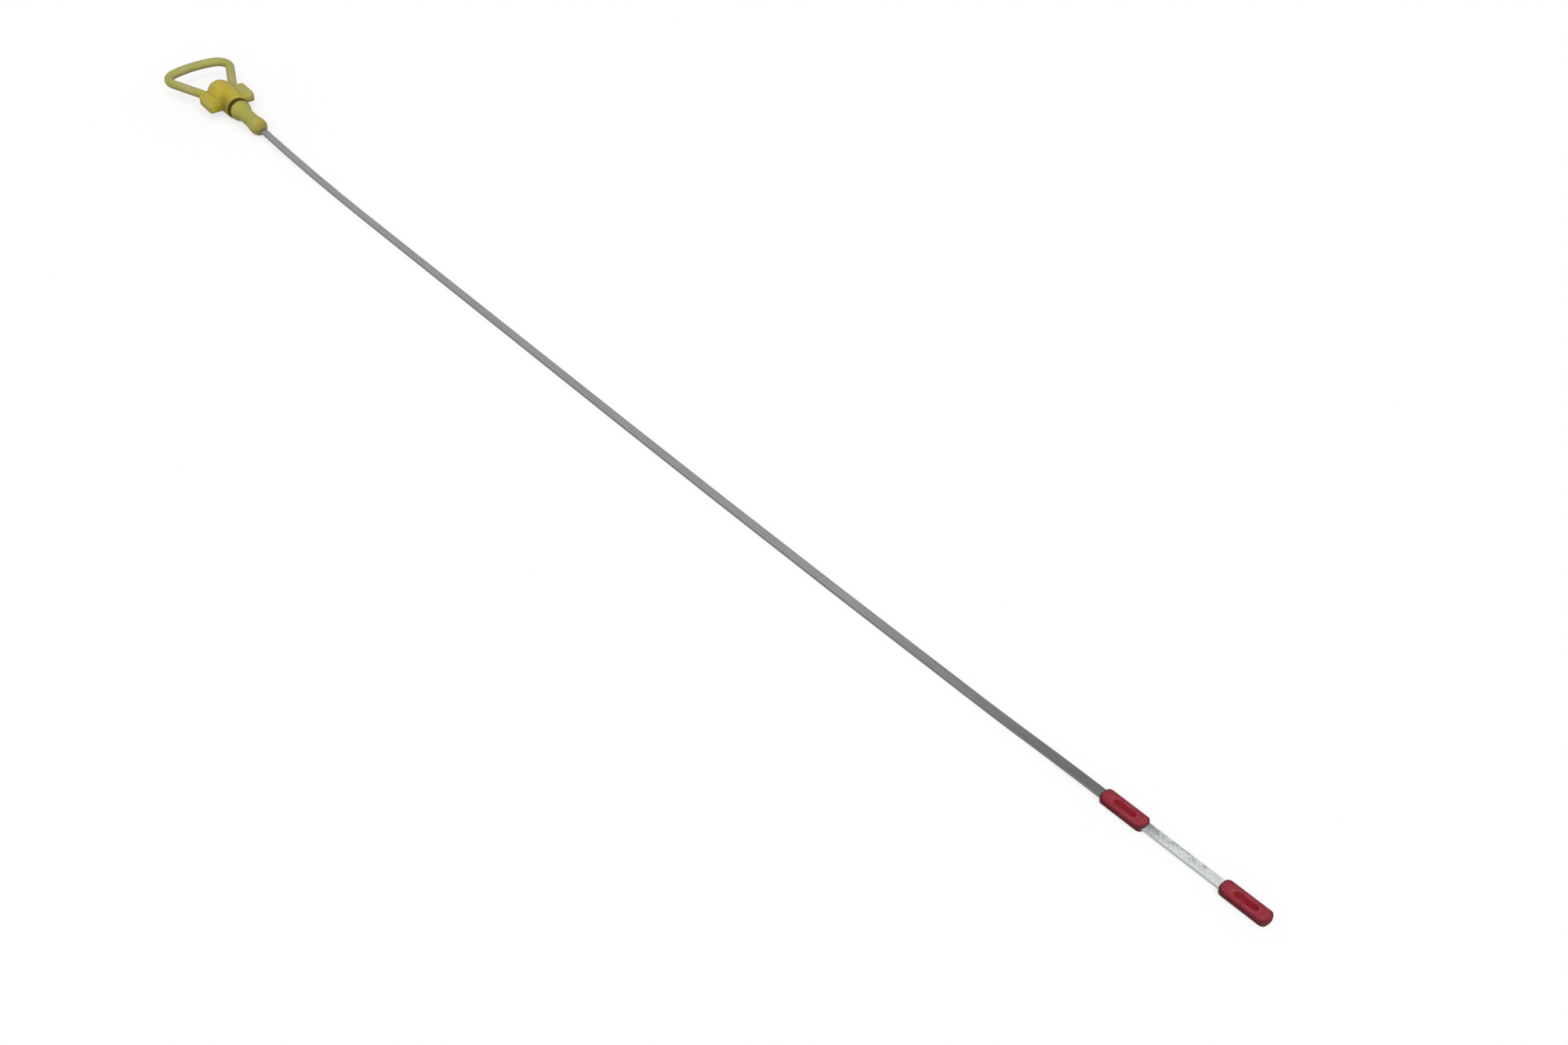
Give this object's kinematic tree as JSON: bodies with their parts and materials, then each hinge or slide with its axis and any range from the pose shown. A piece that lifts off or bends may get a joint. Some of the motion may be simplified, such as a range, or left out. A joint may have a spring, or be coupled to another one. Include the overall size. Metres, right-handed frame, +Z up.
{
  "type": "engine oil dipstick",
  "caption": "Engine oil dipstick lying at rest: moulded finger-loop handle with a stepped tube plug and seal ring, a long flat spring-steel strip and red sleeves that bound its measuring field.",
  "frame": {"origin": "on the plug's axis, at the root of the land that guides the plug in its tube", "axes": "+X level, from the handle towards the tip; +Y across the finger loop; +Z up from the surface that the dipstick lies on"},
  "size_m": [0.729, 0.039, 0.0148],
  "materials": {
    "handle_plastic": "satin",
    "seal_rubber": "matte",
    "strip_steel": "dull",
    "marker_plastic": "semi-gloss"
  },
  "bodies": {
    "root": {"handle": "handle_plastic", "seal_ring": "seal_rubber", "measuring_strip": "strip_steel", "max_marker": "marker_plastic", "min_marker": "marker_plastic"}
  },
  "joints": []
}
